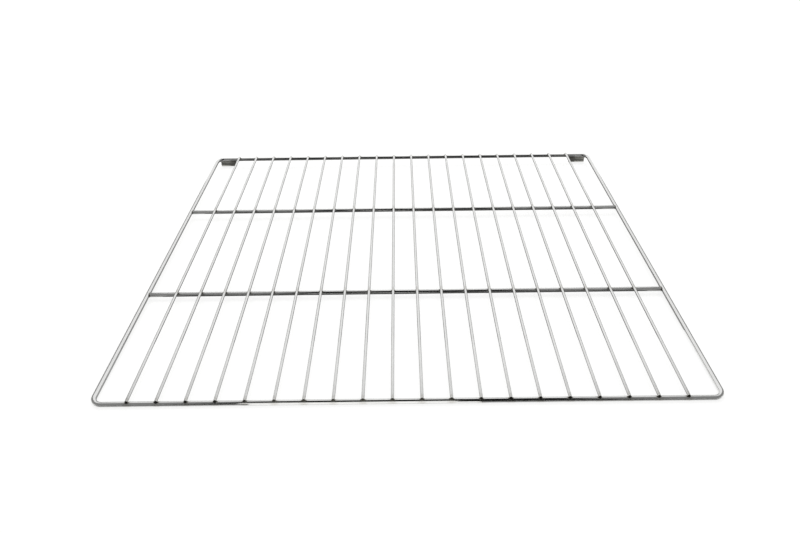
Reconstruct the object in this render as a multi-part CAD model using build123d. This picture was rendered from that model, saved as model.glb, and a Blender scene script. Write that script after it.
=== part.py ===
from build123d import *
from math import sqrt
import os

# Refrigerator wire shelf: a bent perimeter wire, two cross wires, a deck of thin wires and two rear tabs.
# Millimetres. +X to the right, +Y to the back, +Z up. The origin is the middle of the shelf's outline,
# level with the lower edge of the rear tabs.

# Perimeter frame, measured over the outside of the wire
FRAME_WIDTH = 600.0
FRAME_DEPTH = 520.0
FRAME_WIRE = 5.0
FRAME_BEND_RADIUS = 10.0  # to the middle of the wire

# Cross wires, butt-welded between the side rails
CROSS_WIRE = 5.0
CROSS_INSET = 165.0  # middle of a cross wire from the middle of the front or rear rail
CROSS_SINK = 1.0  # how far a welded end sinks into the side rail

# Deck wires, welded on top of the front rail, the cross wires and the rear rail
DECK_WIRE = 3.0
DECK_COUNT = 20
DECK_END_GAP = 34.6  # middle of the outermost deck wire from the middle of the side rail
DECK_SINK = 0.4  # how far a deck wire is pressed flat where it is welded on a rail
DECK_END_REACH = 1.7  # how far a cut end stands past the middle of the front or rear rail

# Rear tabs, welded against the back of the rear rail
TAB_WIDTH = 24.9
TAB_THICKNESS = 2.0
TAB_INSET = 4.8  # outer end of a tab from the outside of the frame
TAB_RISE = 0.6  # top of a tab above the middle of the rail
TAB_DROP = 13.0  # lower edge of a tab below the middle of the rail
TAB_CORNER_RADIUS = 0.6
TAB_SINK = 0.3  # how far the tab's face sinks into the rail at its weld

# Where the middle lines run
rail_x = (FRAME_WIDTH - FRAME_WIRE) / 2
rail_span_y = FRAME_DEPTH - FRAME_WIRE
tab_stand_out = TAB_THICKNESS - TAB_SINK
front_y = -(FRAME_DEPTH + tab_stand_out) / 2 + FRAME_WIRE / 2
rear_y = front_y + rail_span_y
middle_y = (front_y + rear_y) / 2
rail_z = TAB_DROP
rail_top = rail_z + FRAME_WIRE / 2
cross_z = rail_top - CROSS_WIRE / 2
deck_z = rail_top + DECK_WIRE / 2 - DECK_SINK
deck_pitch = 2 * (rail_x - DECK_END_GAP) / (DECK_COUNT - 1)
crossings = [
    (front_y, FRAME_WIRE),
    (front_y + CROSS_INSET, CROSS_WIRE),
    (rear_y - CROSS_INSET, CROSS_WIRE),
    (rear_y, FRAME_WIRE),
]


def frame_wire():
    """The perimeter wire, bent into a rectangle with rounded corners and closed."""
    outline = RectangleRounded(2 * rail_x, rail_span_y, FRAME_BEND_RADIUS)
    path = (Pos(0, middle_y, rail_z) * outline).face().outer_wire()
    section = Plane(origin=path @ 0, z_dir=path % 0) * Circle(FRAME_WIRE / 2)
    return sweep(section, path)


def cross_wire(y, frame):
    """A straight wire between the side rails, its ends shaped to their inner flanks."""
    length = 2 * (rail_x - FRAME_WIRE / 2 + CROSS_SINK)
    wire = Pos(0, y, cross_z) * Rot(0, 90, 0) * Cylinder(CROSS_WIRE / 2, length)
    return wire - frame


def deck_wire(x):
    """A thin wire from front to back, pressed flat underneath where it sits on each rail."""
    length = rail_span_y + 2 * DECK_END_REACH
    wire = Pos(x, middle_y, deck_z) * Rot(90, 0, 0) * Cylinder(DECK_WIRE / 2, length)
    for y, thickness in crossings:
        seat_length = 2 * sqrt(DECK_SINK * (thickness - DECK_SINK))
        seat = Box(DECK_WIRE, seat_length, DECK_SINK, align=(Align.CENTER, Align.CENTER, Align.MAX))
        wire -= Pos(x, y, rail_top) * seat
    return wire


def rear_tab(side, frame):
    """A small flat plate with rounded corners, hung behind the rear rail beside its corner."""
    height = TAB_RISE + TAB_DROP
    x = side * (FRAME_WIDTH / 2 - TAB_INSET - TAB_WIDTH / 2)
    face_y = rear_y + FRAME_WIRE / 2 - TAB_SINK
    plate = Box(TAB_WIDTH, TAB_THICKNESS, height)
    plate = fillet(plate.edges().filter_by(Axis.Y), TAB_CORNER_RADIUS)
    place = Pos(x, face_y + TAB_THICKNESS / 2, rail_z + TAB_RISE - height / 2)
    return place * plate - frame


nodes = {}
nodes["frame_wire"] = frame_wire()
nodes["cross_wire_front"] = cross_wire(front_y + CROSS_INSET, nodes["frame_wire"])
nodes["cross_wire_rear"] = cross_wire(rear_y - CROSS_INSET, nodes["frame_wire"])

for number in range(DECK_COUNT):
    x = -rail_x + DECK_END_GAP + number * deck_pitch
    nodes[f"deck_wire_{number + 1:02d}"] = deck_wire(x)

nodes["rear_tab_left"] = rear_tab(-1, nodes["frame_wire"])
nodes["rear_tab_right"] = rear_tab(1, nodes["frame_wire"])

os.makedirs("parts", exist_ok=True)
for name, shape in nodes.items():
    export_step(shape, f"parts/{name}.step")
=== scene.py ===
import bpy
import math
from mathutils import Matrix, Vector


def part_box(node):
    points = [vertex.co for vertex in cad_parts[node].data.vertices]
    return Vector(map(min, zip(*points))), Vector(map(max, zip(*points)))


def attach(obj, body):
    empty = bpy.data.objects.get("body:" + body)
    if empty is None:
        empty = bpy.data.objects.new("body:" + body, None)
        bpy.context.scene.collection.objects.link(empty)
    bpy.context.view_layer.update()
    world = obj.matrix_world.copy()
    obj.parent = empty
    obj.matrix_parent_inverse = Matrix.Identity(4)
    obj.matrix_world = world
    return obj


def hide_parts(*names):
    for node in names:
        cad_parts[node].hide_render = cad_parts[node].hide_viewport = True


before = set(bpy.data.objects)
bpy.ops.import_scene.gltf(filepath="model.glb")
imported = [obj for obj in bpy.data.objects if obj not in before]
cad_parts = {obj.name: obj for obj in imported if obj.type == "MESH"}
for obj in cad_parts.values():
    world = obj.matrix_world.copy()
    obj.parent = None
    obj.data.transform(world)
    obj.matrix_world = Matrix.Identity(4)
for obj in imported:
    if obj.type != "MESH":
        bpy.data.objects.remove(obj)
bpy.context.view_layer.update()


# Sizes in metres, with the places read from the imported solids

frame_low, frame_high = (Vector(corner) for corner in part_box("frame_wire"))
WIRE = frame_high.z - frame_low.z
BEND = 0.010  # to the middle of the wire
rail_z = (frame_low.z + frame_high.z) / 2
rail_top = frame_high.z
left_x, right_x = frame_low.x + WIRE / 2, frame_high.x - WIRE / 2
front_y, rear_y = frame_low.y + WIRE / 2, frame_high.y - WIRE / 2
middle_y = (front_y + rear_y) / 2

deck_names = sorted(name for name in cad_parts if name.startswith("deck_wire_"))
deck_low, deck_high = (Vector(corner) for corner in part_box(deck_names[0]))
DECK = deck_high.x - deck_low.x
deck_length = deck_high.y - deck_low.y
deck_z = deck_high.z - DECK / 2
deck_xs = [sum(corner[0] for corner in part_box(name)) / 2 for name in deck_names]

cross_names = ["cross_wire_front", "cross_wire_rear"]
cross_ys = [sum(corner[1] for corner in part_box(name)) / 2 for name in cross_names]
crossing_ys = [front_y, *cross_ys, rear_y]

NEAR = 0.0001  # points closer than this lie in one place


# Colours and nodes

def colour(hex_value):
    """An sRGB hex value as the linear colour that a shader takes."""
    parts = [int(hex_value[i:i + 2], 16) / 255 for i in (1, 3, 5)]
    linear = [p / 12.92 if p <= 0.04045 else ((p + 0.055) / 1.055) ** 2.4 for p in parts]
    return (*linear, 1.0)


def per(millimetres):
    """The scale of a pattern whose marks are this far apart."""
    return 1000 / millimetres


def add(tree, kind, settings, links):
    """Adds one node, sets its values and links its inputs."""
    made = tree.nodes.new(kind)
    for key, value in settings.items():
        if isinstance(key, int) or key in made.inputs:
            made.inputs[key].default_value = value
        else:
            setattr(made, key, value)
    for key, source in links.items():
        tree.links.new(source, made.inputs[key])
    return made


def new_material(name):
    """An empty material with its output, and the object's own coordinates."""
    material = bpy.data.materials.new(name)
    material.use_nodes = True
    tree = material.node_tree
    tree.nodes.clear()
    output = add(tree, "ShaderNodeOutputMaterial", {}, {})
    place = add(tree, "ShaderNodeTexCoord", {}, {})
    return material, tree, output, place.outputs["Object"]


def nearest(tree, value, targets):
    """The distance from a coordinate to the nearest of a few places."""
    best = None
    for target in targets:
        offset = add(tree, "ShaderNodeMath", {"operation": "SUBTRACT", 1: target}, {0: value})
        gap = add(tree, "ShaderNodeMath", {"operation": "ABSOLUTE"}, {0: offset.outputs[0]})
        if best is None:
            best = gap
        else:
            best = add(tree, "ShaderNodeMath", {"operation": "MINIMUM"},
                       {0: best.outputs[0], 1: gap.outputs[0]})
    return best.outputs[0]


def plated_wire(name, along, weld_axis, weld_places):
    """Bright nickel-chrome plating on drawn steel wire: mirror-like but a little soft, with fine
    lines along the wire from the drawing die, a faint cloudiness, and a dulled, warmer patch
    around each weld."""
    material, tree, output, place = new_material(name)
    # Die lines 0.4 mm apart and 30 mm long, coarser than the real ones so that they show
    runs = {"X": (per(30), per(0.4), per(0.4)), "Y": (per(0.4), per(30), per(0.4))}
    axes = add(tree, "ShaderNodeSeparateXYZ", {}, {"Vector": place})
    drawn = []
    for run in along:
        lines_at = add(tree, "ShaderNodeMapping", {"Scale": runs[run]}, {"Vector": place})
        drawn.append(add(tree, "ShaderNodeTexNoise", {"Scale": 1.0, "Detail": 3.0, "Roughness": 0.6},
                         {"Vector": lines_at.outputs[0]}).outputs["Fac"])
    lines = drawn[0]
    if len(drawn) == 2:
        # On the frame the lines turn with the bend from the front and rear rails to the side rails
        outward = add(tree, "ShaderNodeMath", {"operation": "ABSOLUTE"}, {0: axes.outputs["X"]})
        on_side = add(tree, "ShaderNodeMapRange",
                      {"From Min": right_x - 0.6 * BEND, "From Max": right_x - 0.3 * BEND},
                      {"Value": outward.outputs[0]})
        lines = add(tree, "ShaderNodeMix", {},
                    {0: on_side.outputs[0], 2: drawn[0], 3: drawn[1]}).outputs[0]
    # Cloudy patches about 14 mm across, and finer ones of 2 mm
    cloud = add(tree, "ShaderNodeTexNoise", {"Scale": per(14), "Detail": 4.0, "Roughness": 0.55},
                {"Vector": place})
    speck = add(tree, "ShaderNodeTexNoise", {"Scale": per(2), "Detail": 2.0}, {"Vector": place})
    # Heat dulls the plating up to 6 mm each side of a weld
    gap = nearest(tree, axes.outputs[weld_axis], weld_places)
    darkened_zone = add(tree, "ShaderNodeMapRange",
               {"From Min": 0.0008, "From Max": 0.0060, "To Min": 1.0, "To Max": 0.0,
                "interpolation_type": "SMOOTHSTEP"}, {"Value": gap})
    clean = add(tree, "ShaderNodeMix",
                {"data_type": "RGBA", 6: colour("#E1E1E0"), 7: colour("#D3D3D2")},
                {0: cloud.outputs["Fac"]})
    amount = add(tree, "ShaderNodeMath", {"operation": "MULTIPLY", 1: 0.30}, {0: darkened_zone.outputs[0]})
    tinted = add(tree, "ShaderNodeMix", {"data_type": "RGBA", 7: colour("#A39E92")},
                 {0: amount.outputs[0], 6: clean.outputs[2]})
    rough = add(tree, "ShaderNodeMapRange",
                {"From Min": 0.3, "From Max": 0.7, "To Min": 0.10, "To Max": 0.17},
                {"Value": cloud.outputs["Fac"]})
    rough_speck = add(tree, "ShaderNodeMath", {"operation": "MULTIPLY_ADD", 1: 0.04},
                      {0: speck.outputs["Fac"], 2: rough.outputs[0]})
    rough_heat = add(tree, "ShaderNodeMath", {"operation": "MULTIPLY_ADD", 1: 0.05},
                     {0: darkened_zone.outputs[0], 2: rough_speck.outputs[0]})
    bump = add(tree, "ShaderNodeBump", {"Strength": 0.12, "Distance": 0.00004}, {"Height": lines})
    shader = add(tree, "ShaderNodeBsdfPrincipled", {"Metallic": 1.0},
                 {"Base Color": tinted.outputs[2], "Roughness": rough_heat.outputs[0],
                  "Normal": bump.outputs[0]})
    tree.links.new(shader.outputs[0], output.inputs["Surface"])
    return material


def sheared_end():
    """The cut face of a steel wire, plated over: torn in fine ridges by the shear and dull, and dark
    partly as cut steel and partly as painted shade for the shadow under the wire's end.
    """
    material, tree, output, place = new_material("sheared_wire_end")
    # Shear ridges 0.5 mm apart and 4 mm long, lying level across the face
    ridges_at = add(tree, "ShaderNodeMapping", {"Scale": (per(4), per(4), per(0.5))}, {"Vector": place})
    ridges = add(tree, "ShaderNodeTexNoise", {"Scale": 1.0, "Detail": 3.0},
                 {"Vector": ridges_at.outputs[0]})
    # Very dark tones: the dull cut steel, darkened further as painted shade for the shadow under the
    # wire's end
    tone = add(tree, "ShaderNodeMix",
               {"data_type": "RGBA", 6: colour("#33322E"), 7: colour("#504F4A")},
               {0: ridges.outputs["Fac"]})
    rough = add(tree, "ShaderNodeMapRange", {"To Min": 0.42, "To Max": 0.66},
                {"Value": ridges.outputs["Fac"]})
    bump = add(tree, "ShaderNodeBump", {"Strength": 0.5, "Distance": 0.00012},
               {"Height": ridges.outputs["Fac"]})
    shader = add(tree, "ShaderNodeBsdfPrincipled", {"Metallic": 1.0},
                 {"Base Color": tone.outputs[2], "Roughness": rough.outputs[0],
                  "Normal": bump.outputs[0]})
    tree.links.new(shader.outputs[0], output.inputs["Surface"])
    return material


def weld_metal():
    """Steel squeezed out of a resistance weld, plated over: lumpy and satin, darkened partly by the
    heat and partly as painted shade for the dark patches round the wire ends.
    """
    material, tree, output, place = new_material("plated_weld_metal")
    # Lumps of 1.2 mm
    lumps = add(tree, "ShaderNodeTexNoise", {"Scale": per(1.2), "Detail": 4.0, "Roughness": 0.6},
                {"Vector": place})
    # Dark tones: weld metal, deepened into painted shade for the dark patches at the wire ends
    tone = add(tree, "ShaderNodeMix",
               {"data_type": "RGBA", 6: colour("#5F5B53"), 7: colour("#8A877E")},
               {0: lumps.outputs["Fac"]})
    rough = add(tree, "ShaderNodeMapRange", {"To Min": 0.26, "To Max": 0.46},
                {"Value": lumps.outputs["Fac"]})
    bump = add(tree, "ShaderNodeBump", {"Strength": 0.45, "Distance": 0.00015},
               {"Height": lumps.outputs["Fac"]})
    shader = add(tree, "ShaderNodeBsdfPrincipled", {"Metallic": 1.0},
                 {"Base Color": tone.outputs[2], "Roughness": rough.outputs[0],
                  "Normal": bump.outputs[0]})
    tree.links.new(shader.outputs[0], output.inputs["Surface"])
    return material


def plated_strip():
    """Rolled steel strip, sheared to length and plated: duller than the wire, with faint rolling
    lines, and painted shade that darkens its top under the rear rail."""
    material, tree, output, place = new_material("plated_rolled_strip")
    # Rolling lines 0.5 mm apart and 20 mm long, coarser than the real ones so that they show
    lines_at = add(tree, "ShaderNodeMapping", {"Scale": (per(20), per(0.5), per(0.5))},
                   {"Vector": place})
    lines = add(tree, "ShaderNodeTexNoise", {"Scale": 1.0, "Detail": 3.0},
                {"Vector": lines_at.outputs[0]})
    # Cloudy patches about 6 mm across
    cloud = add(tree, "ShaderNodeTexNoise", {"Scale": per(6), "Detail": 4.0}, {"Vector": place})
    clean = add(tree, "ShaderNodeMix",
                {"data_type": "RGBA", 6: colour("#C0BFB9"), 7: colour("#AAA9A3")},
                {0: cloud.outputs["Fac"]})
    # Painted shade under the rear rail: darkest at the top of the tab, fading out between 4 and 6 mm
    # below the middle of the rail
    axes = add(tree, "ShaderNodeSeparateXYZ", {}, {"Vector": place})
    darkened_zone = add(tree, "ShaderNodeMapRange",
               {"From Min": rail_z - 0.0064, "From Max": rail_z - 0.0042,
                "To Min": 0.0, "To Max": 0.75, "interpolation_type": "SMOOTHSTEP"},
               {"Value": axes.outputs["Z"]})
    # Mixes the painted shade into the tab's colour, darkest at its top under the rail
    tone = add(tree, "ShaderNodeMix", {"data_type": "RGBA", 7: colour("#6E6A61")},
               {0: darkened_zone.outputs[0], 6: clean.outputs[2]})
    rough = add(tree, "ShaderNodeMapRange", {"To Min": 0.24, "To Max": 0.42},
                {"Value": cloud.outputs["Fac"]})
    bump = add(tree, "ShaderNodeBump", {"Strength": 0.15, "Distance": 0.00005},
               {"Height": lines.outputs["Fac"]})
    shader = add(tree, "ShaderNodeBsdfPrincipled", {"Metallic": 1.0},
                 {"Base Color": tone.outputs[2], "Roughness": rough.outputs[0],
                  "Normal": bump.outputs[0]})
    tree.links.new(shader.outputs[0], output.inputs["Surface"])
    return material


deck_plating = plated_wire("bright_plated_deck_wire", "Y", "Y", crossing_ys)
rail_plating = plated_wire("bright_plated_rail_wire", "X", "X", deck_xs)
frame_plating = plated_wire("bright_plated_frame_wire", "XY", "X", deck_xs)
end_steel = sheared_end()
weld_steel = weld_metal()
tab_steel = plated_strip()


# Modelling helpers

def start():
    """Nothing selected, in object mode."""
    if bpy.context.object and bpy.context.object.mode != "OBJECT":
        bpy.ops.object.mode_set(mode="OBJECT")
    bpy.ops.object.select_all(action="DESELECT")


def settle(name):
    """Names the new primitive and puts its place into its mesh."""
    piece = bpy.context.object
    piece.name = name
    piece.data.name = name
    bpy.ops.object.transform_apply(location=True, rotation=True, scale=True)
    return piece


def select(piece, mode, test):
    """In edit mode, selects the points, edges or faces that pass the test. It is given a point's
    place, the places of an edge's two ends, or a face's middle and normal."""
    bpy.ops.object.mode_set(mode="EDIT")
    bpy.ops.mesh.select_mode(type=mode)
    bpy.ops.mesh.select_all(action="DESELECT")
    bpy.ops.object.mode_set(mode="OBJECT")
    mesh = piece.data
    if mode == "VERT":
        for item in mesh.vertices:
            item.select = test(item.co)
    elif mode == "EDGE":
        for item in mesh.edges:
            item.select = test(*(mesh.vertices[i].co for i in item.vertices))
    else:
        for item in mesh.polygons:
            item.select = test(item.center, item.normal)
    bpy.ops.object.mode_set(mode="EDIT")


def finish_piece(piece, node, smooth=35):
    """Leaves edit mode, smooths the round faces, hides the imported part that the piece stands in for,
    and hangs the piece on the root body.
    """
    bpy.ops.object.mode_set(mode="OBJECT")
    bpy.ops.object.shade_smooth_by_angle(angle=math.radians(smooth))
    if node:
        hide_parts(node)
    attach(piece, "root")


# Perimeter frame: a ring of points drawn along each rail and spun round each corner

start()
straight_left, straight_right = left_x + BEND, right_x - BEND
straight_front, straight_rear = front_y + BEND, rear_y - BEND
bpy.ops.mesh.primitive_circle_add(vertices=32, radius=WIRE / 2,
                                  location=(straight_left, front_y, rail_z),
                                  rotation=(0, math.pi / 2, 0))
bent_frame = settle("bent_frame_wire")
bpy.ops.object.mode_set(mode="EDIT")
bpy.ops.mesh.select_all(action="SELECT")
run_x, run_y = straight_right - straight_left, straight_rear - straight_front
rail_runs = [
    ((run_x, 0, 0), (straight_right, straight_front, rail_z)),
    ((0, run_y, 0), (straight_right, straight_rear, rail_z)),
    ((-run_x, 0, 0), (straight_left, straight_rear, rail_z)),
    ((0, -run_y, 0), (straight_left, straight_front, rail_z)),
]
for run, bend_middle in rail_runs:
    bpy.ops.mesh.extrude_region_move(TRANSFORM_OT_translate={"value": run})
    bpy.ops.mesh.spin(steps=16, angle=-math.pi / 2, center=bend_middle, axis=(0, 0, 1))
bpy.ops.mesh.select_all(action="SELECT")
bpy.ops.mesh.remove_doubles(threshold=0.00001)
bpy.ops.mesh.normals_make_consistent(inside=False)
bent_frame.data.materials.append(frame_plating)
finish_piece(bent_frame, "frame_wire", smooth=60)


# Cross wires

CROSS_END_ROUNDING = 0.0004

for name, y in zip(cross_names, cross_ys):
    low, high = (Vector(corner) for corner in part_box(name))
    start()
    bpy.ops.mesh.primitive_cylinder_add(vertices=32, radius=(high.z - low.z) / 2, depth=high.x - low.x,
                                        location=(0, y, (low.z + high.z) / 2),
                                        rotation=(0, math.pi / 2, 0))
    cross = settle("welded_" + name)
    select(cross, "EDGE", lambda a, b: min(abs(a.x), abs(b.x)) > high.x - NEAR)
    bpy.ops.mesh.bevel(offset=CROSS_END_ROUNDING, segments=2, affect="EDGES")
    cross.data.materials.append(rail_plating)
    finish_piece(cross, name)


# Deck wires: one is modelled, the others are copies of it

CUT_RIM = 0.00016  # rounding of the rim that the shear leaves
CUT_RINGS = (0.00045, 0.00040)  # steps from the rim to the middle of the cut
CUT_PROUD = 0.00012  # how far the middle of the cut stands out
CUT_SLANT = math.radians(28)
CUT_TAPER = 0.0030  # length of wire behind the cut that gives way to its slant
CUT_NEAR = 0.0003  # all of a cut lies this near its plane, and its middle face this near the axis
SEAT_HALF = 0.00136  # half the length of the flat on a rail
SEAT_SLACK = 0.00004
SEAT_Z = rail_top - 0.00005
SEAT_END_CLEAR = 0.0008  # no edge of a flat is cut nearer than this to the wire's end

start()
bpy.ops.mesh.primitive_cylinder_add(vertices=24, radius=DECK / 2, depth=deck_length,
                                    location=(deck_xs[0], middle_y, deck_z),
                                    rotation=(math.pi / 2, 0, 0))
deck = settle("laid_" + deck_names[0])
deck.data.materials.append(deck_plating)
deck.data.materials.append(end_steel)
# The shear leaves a rounded rim and a slightly proud face
select(deck, "EDGE",
       lambda a, b: min(abs(a.y - middle_y), abs(b.y - middle_y)) > deck_length / 2 - NEAR)
bpy.ops.mesh.bevel(offset=CUT_RIM, segments=2, affect="EDGES")
select(deck, "FACE", lambda co, normal: abs(normal.y) > 0.2)
deck.active_material_index = 1
bpy.ops.object.material_slot_assign()
select(deck, "FACE", lambda co, normal: abs(normal.y) > 0.99)
for ring in CUT_RINGS:
    bpy.ops.mesh.inset(thickness=ring)
for end in (-1, 1):
    select(deck, "FACE", lambda co, normal: normal.y * end > 0.99
           and abs(co.x - deck_xs[0]) < CUT_NEAR and abs(co.z - deck_z) < CUT_NEAR)
    bpy.ops.transform.translate(value=(0, end * CUT_PROUD, 0))
    # The shear cuts at a slant, so the top edge lies a little further in
    end_y = middle_y + end * deck_length / 2
    bpy.ops.mesh.select_all(action="SELECT")
    bpy.ops.mesh.bisect(plane_co=(0, end_y - end * CUT_TAPER, 0), plane_no=(0, 1, 0))
    select(deck, "VERT", lambda co: abs(co.y - end_y) < CUT_NEAR)
    bpy.ops.transform.rotate(value=-end * CUT_SLANT, orient_axis="X",
                             center_override=(deck_xs[0], end_y, deck_z - DECK / 2))
# The underside is pressed flat where it sits on each rail
for y in crossing_ys:
    for edge_y in (y - SEAT_HALF, y + SEAT_HALF):
        if abs(edge_y - middle_y) < deck_length / 2 - SEAT_END_CLEAR:
            bpy.ops.mesh.select_all(action="SELECT")
            bpy.ops.mesh.bisect(plane_co=(0, edge_y, 0), plane_no=(0, 1, 0))
    select(deck, "VERT", lambda co: abs(co.y - y) < SEAT_HALF + SEAT_SLACK and co.z < SEAT_Z)
    bpy.ops.transform.resize(value=(1, 1, 0), center_override=(0, 0, SEAT_Z))
finish_piece(deck, deck_names[0])
for name, x in zip(deck_names[1:], deck_xs[1:]):
    start()
    deck.select_set(True)
    bpy.context.view_layer.objects.active = deck
    bpy.ops.object.duplicate()
    copy = bpy.context.object
    bpy.ops.object.mode_set(mode="EDIT")
    bpy.ops.mesh.select_all(action="SELECT")
    bpy.ops.transform.translate(value=(x - deck_xs[0], 0, 0))
    copy.name = copy.data.name = "laid_" + name
    finish_piece(copy, name)


# Rear tabs

TAB_CORNER = 0.0006  # the four corners of the plate's outline
TAB_EDGE_ROUNDING = 0.00025  # the edges of its two faces

for side in ("left", "right"):
    low, high = (Vector(corner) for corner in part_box("rear_tab_" + side))
    start()
    bpy.ops.mesh.primitive_cube_add(size=1, location=(low + high) / 2, scale=high - low)
    tab = settle("plated_tab_" + side)
    select(tab, "EDGE", lambda a, b: abs(a.x - b.x) < NEAR and abs(a.z - b.z) < NEAR)
    bpy.ops.mesh.bevel(offset=TAB_CORNER, segments=3, affect="EDGES")
    bpy.ops.object.mode_set(mode="OBJECT")
    rounding = tab.modifiers.new("rounding", "BEVEL")
    rounding.width = TAB_EDGE_ROUNDING
    rounding.segments = 2
    rounding.limit_method = "ANGLE"
    rounding.angle_limit = math.radians(50)
    bpy.ops.object.modifier_apply(modifier="rounding")
    tab.data.materials.append(tab_steel)
    finish_piece(tab, "rear_tab_" + side)


# Welds: metal squeezed out at each crossing, round the ends of the cross wires and along the tabs

CROSSING_WELD = (0.0050, 0.0022, 0.0016)
CROSSING_SPREAD = 0.12  # share by which the widths differ
CROSSING_TURN = 0.08
CROSSING_SINK = 0.00015  # middle of a lump under the top of the rail
CROSS_END_WELD = (0.0022, 0.0066, 0.0054)
CROSS_END_SINK = 0.0002  # middle of a lump inside the flank of the side rail
TAB_WELD = (0.0052, 0.0022, 0.0014)
TAB_WELD_STEPS = (0.005, 0.014)  # from the tab's inner end
TAB_WELD_SINK = 0.0004  # middle of a lump inside the back of the rear rail
TAB_WELD_RISE = 0.0007  # middle of a lump above the middle of the rail


def weld_lump(middle, size, turn):
    """One lump of weld metal, a flattened ball with a slightly uneven rim."""
    start()
    bpy.ops.mesh.primitive_uv_sphere_add(segments=16, ring_count=8, radius=0.5, location=middle,
                                         rotation=(0, 0, turn), scale=size)
    lump = settle("lump")
    bpy.ops.object.mode_set(mode="EDIT")
    bpy.ops.mesh.select_all(action="SELECT")
    bpy.ops.transform.vertex_random(offset=0.00006, seed=int(1000 * abs(turn)) + 1)
    bpy.ops.mesh.vertices_smooth(factor=0.3)
    bpy.ops.object.mode_set(mode="OBJECT")
    return lump


def join_welds(lumps, name):
    """Makes one piece of a row of lumps."""
    start()
    for lump in lumps:
        lump.select_set(True)
    bpy.context.view_layer.objects.active = lumps[0]
    bpy.ops.object.join()
    piece = bpy.context.object
    piece.name = piece.data.name = name
    piece.data.materials.append(weld_steel)
    finish_piece(piece, None, smooth=80)


weld_rows = ("front_rail_welds", "front_cross_welds", "rear_cross_welds", "rear_rail_welds")
for name, y in zip(weld_rows, crossing_ys):
    lumps = []
    for number, x in enumerate(deck_xs):
        # No two lumps are quite alike in width or in how they lie
        spread = 1 + CROSSING_SPREAD * math.sin(2.7 * number + 31 * y)
        turn = CROSSING_TURN * math.sin(1.9 * number + 17 * y)
        size = (CROSSING_WELD[0] * spread, CROSSING_WELD[1], CROSSING_WELD[2])
        lumps.append(weld_lump((x, y, rail_top - CROSSING_SINK), size, turn))
    join_welds(lumps, name)

lumps = []
for y in cross_ys:
    for side, x in ((-1, left_x), (1, right_x)):
        at = (x - side * (WIRE / 2 - CROSS_END_SINK), y, rail_z)
        lumps.append(weld_lump(at, CROSS_END_WELD, 0.1 * side * y))
join_welds(lumps, "cross_wire_end_welds")

lumps = []
for side, outward in (("left", -1), ("right", 1)):
    low, high = (Vector(corner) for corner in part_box("rear_tab_" + side))
    inner_x = low.x if outward > 0 else high.x
    for step in TAB_WELD_STEPS:
        at = (inner_x + outward * step, rear_y + WIRE / 2 - TAB_WELD_SINK, rail_z + TAB_WELD_RISE)
        lumps.append(weld_lump(at, TAB_WELD, 0.2 * step))
join_welds(lumps, "rear_tab_welds")


# Floor: it touches the front rail and the lower edges of the tabs, as the shelf would lie

FLOOR_CLEARANCE = 0.0002
tab_low, tab_high = (Vector(corner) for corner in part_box("rear_tab_left"))
floor_slope = math.atan2(frame_low.z - tab_low.z, tab_high.y - front_y)
start()
bpy.ops.mesh.primitive_plane_add(size=40.0, location=(0, tab_high.y, tab_low.z - FLOOR_CLEARANCE),
                                 rotation=(-floor_slope, 0, 0))
floor = settle("pale_floor")
# Matte paper with a grain of 3 mm, lifted to white where it is seen and still taking the shadow
floor_paper, tree, output, place = new_material("matte_pale_grey_paper")
paper_grain = add(tree, "ShaderNodeTexNoise", {"Scale": per(3), "Detail": 3.0}, {"Vector": place})
paper_tone = add(tree, "ShaderNodeMix",
                 {"data_type": "RGBA", 6: colour("#868685"), 7: colour("#8C8C8B")},
                 {0: paper_grain.outputs["Fac"]})
paper = add(tree, "ShaderNodeBsdfDiffuse", {"Roughness": 0.6}, {"Color": paper_tone.outputs[2]})
glow = add(tree, "ShaderNodeEmission", {"Color": (1, 1, 1, 1), "Strength": 0.77}, {})
rays = add(tree, "ShaderNodeLightPath", {}, {})
lifted = add(tree, "ShaderNodeAddShader", {}, {0: paper.outputs[0], 1: glow.outputs[0]})
direct = add(tree, "ShaderNodeMath", {"operation": "MAXIMUM"},
             {0: rays.outputs["Is Camera Ray"], 1: rays.outputs["Is Glossy Ray"]})
direct = add(tree, "ShaderNodeMath", {"operation": "MAXIMUM"},
             {0: direct.outputs[0], 1: rays.outputs["Is Transmission Ray"]})
seen = add(tree, "ShaderNodeMixShader", {},
           {0: direct.outputs[0], 1: paper.outputs[0], 2: lifted.outputs[0]})
tree.links.new(seen.outputs[0], output.inputs["Surface"])
floor.data.materials.append(floor_paper)


# Light: a white room, and what stands in it out of the camera's sight for the metal to reflect

world = bpy.data.worlds.new("studio")
bpy.context.scene.world = world
world.use_nodes = True
tree = world.node_tree
tree.nodes.clear()
room = add(tree, "ShaderNodeBackground", {"Color": (1, 1, 1, 1), "Strength": 1.0}, {})
add(tree, "ShaderNodeOutputWorld", {}, {"Surface": room.outputs[0]})


def show_in_metal_only(card):
    """Keeps a card out of the camera's sight and off the floor's light."""
    card.visible_camera = False
    card.visible_diffuse = False
    card.visible_shadow = False


# A dome that is white behind the shelf and dims towards the front

DOME_RADIUS = 8.0
start()
bpy.ops.mesh.primitive_uv_sphere_add(segments=48, ring_count=24, radius=DOME_RADIUS)
dome = settle("dim_front_dome")
dome_cloth, tree, output, place = new_material("white_to_grey_dome_cloth")
axes = add(tree, "ShaderNodeSeparateXYZ", {}, {"Vector": place})
depth = add(tree, "ShaderNodeMapRange",
            {"From Min": 0.05 * DOME_RADIUS, "From Max": 0.60 * DOME_RADIUS,
             "To Min": 0.28, "To Max": 1.08, "interpolation_type": "SMOOTHSTEP"},
            {"Value": axes.outputs["Y"]})
glowing = add(tree, "ShaderNodeEmission", {"Color": (1, 1, 1, 1)}, {"Strength": depth.outputs[0]})
tree.links.new(glowing.outputs[0], output.inputs["Surface"])
dome.data.materials.append(dome_cloth)
show_in_metal_only(dome)


# Cards of an even brightness

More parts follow.
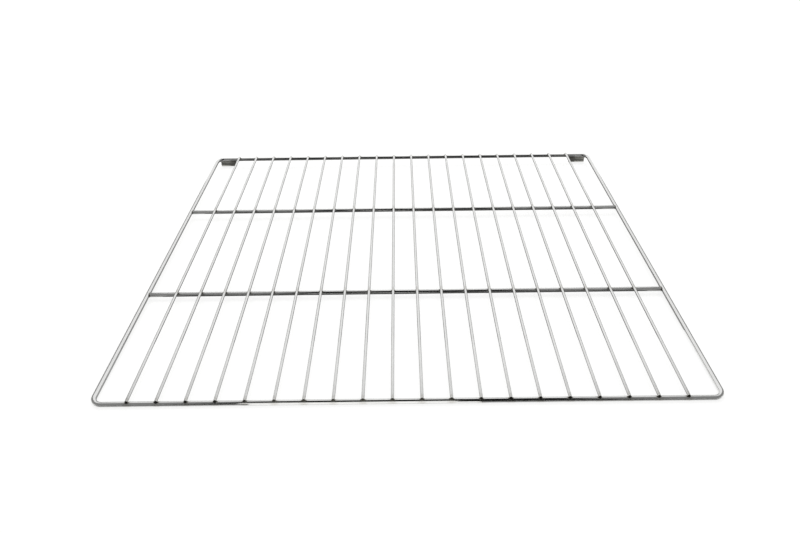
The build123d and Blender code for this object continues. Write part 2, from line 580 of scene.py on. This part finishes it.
def reflected_card(name, middle, turn, width, height, level):
    """A card of an even brightness for the metal to reflect."""
    start()
    bpy.ops.mesh.primitive_plane_add(size=1, location=middle, rotation=turn)
    bpy.context.object.scale = (width, height, 1)
    card = settle(name)
    surface, tree, output, _ = new_material(name + "_surface")
    even = add(tree, "ShaderNodeEmission", {"Color": (1.0, 1.0, 0.99, 1.0), "Strength": level}, {})
    tree.links.new(even.outputs[0], output.inputs["Surface"])
    card.data.materials.append(surface)
    show_in_metal_only(card)


UPRIGHT = (math.pi / 2, 0, 0)
OVERHEAD = (0, 0, 0)
SIDEWAYS = (0, math.pi / 2, 0)
ON_FLOOR = (-floor_slope, 0, 0)

# Dark in front and overhead, for the dark bands along the rails
reflected_card("front_dark_card", (0.02, -1.1, 0.75), UPRIGHT, 1.20, 1.5, 0.008)
reflected_card("upper_dark_card", (0.02, -0.40, 1.5), OVERHEAD, 1.20, 1.40, 0.008)
# White and low, for the light line along the middle of the front rail
reflected_card("low_white_card", (-0.06, -0.30, 0.030), UPRIGHT, 0.22, 0.036, 1.1)
# On the floor, for the lower halves of the wires: the dark cards are painted shadow of the shelf on the
# floor and the bright middle card in front is a painted pool of light, both seen only in the metal
reflected_card("under_shelf_card", (0, 0.04375, 0.0048), ON_FLOOR, 0.565, 0.4275, 0.11)
reflected_card("under_front_card", (0, -0.2125, 0.00997), ON_FLOOR, 0.565, 0.085, 0.50)
reflected_card("left_rail_strip_card", (-0.2975, 0.0, 0.0060), ON_FLOOR, 0.030, 0.50, 0.42)
reflected_card("right_rail_strip_card", (0.2975, 0.045, 0.0051), ON_FLOOR, 0.030, 0.41, 0.42)
reflected_card("rear_strip_card", (0, 0.2375, 0.0011), ON_FLOOR, 0.60, 0.040, 0.13)
reflected_card("back_strip_card", (0, 0.2850, 0.0), ON_FLOOR, 0.56, 0.056, 0.14)
reflected_card("front_left_strip_card", (-0.23, -0.30, 0.0118), ON_FLOOR, 0.16, 0.075, 0.20)
reflected_card("front_middle_strip_card", (-0.04, -0.30, 0.0118), ON_FLOOR, 0.22, 0.075, 1.35)
reflected_card("front_right_strip_card", (0.19, -0.30, 0.0118), ON_FLOOR, 0.24, 0.075, 0.20)
# Dim beside the shelf, for the outer edges of the side rails
for side in (-1, 1):
    reflected_card("side_strip_card", (side * 0.345, 0, 0.045), SIDEWAYS, 0.07, 0.52, 0.30)

lamp = bpy.data.lights.new("overhead_softbox", "AREA")
lamp.shape = "RECTANGLE"
lamp.size, lamp.size_y = 2.4, 1.6
lamp.energy = 36.0
lamp_object = bpy.data.objects.new("overhead_softbox", lamp)
lamp_object.location = (0, 1.3, 2.0)
lamp_object.rotation_euler = (math.radians(-33), 0, 0)
lamp_object.visible_glossy = False
bpy.context.collection.objects.link(lamp_object)


# Camera

CAMERA_PLACE = (-0.00399, -0.65006, 0.45332)
CAMERA_FORWARD = (-0.00227, 0.80928, -0.58741)
CAMERA_ACROSS = (0.99992, -0.00532, -0.01118)

camera = bpy.data.cameras.new("camera")
camera.sensor_width = 36.0
camera.lens = 27.628
camera.clip_start = 0.01
camera_object = bpy.data.objects.new("camera", camera)
forward = Vector(CAMERA_FORWARD).normalized()
across = Vector(CAMERA_ACROSS)
across = (across - forward * across.dot(forward)).normalized()
upward = across.cross(forward)
turned = Matrix((across, upward, -forward)).transposed().to_4x4()
camera_object.matrix_world = Matrix.Translation(CAMERA_PLACE) @ turned
bpy.context.collection.objects.link(camera_object)
bpy.context.scene.camera = camera_object
bpy.context.scene.view_settings.view_transform = "Standard"

start()
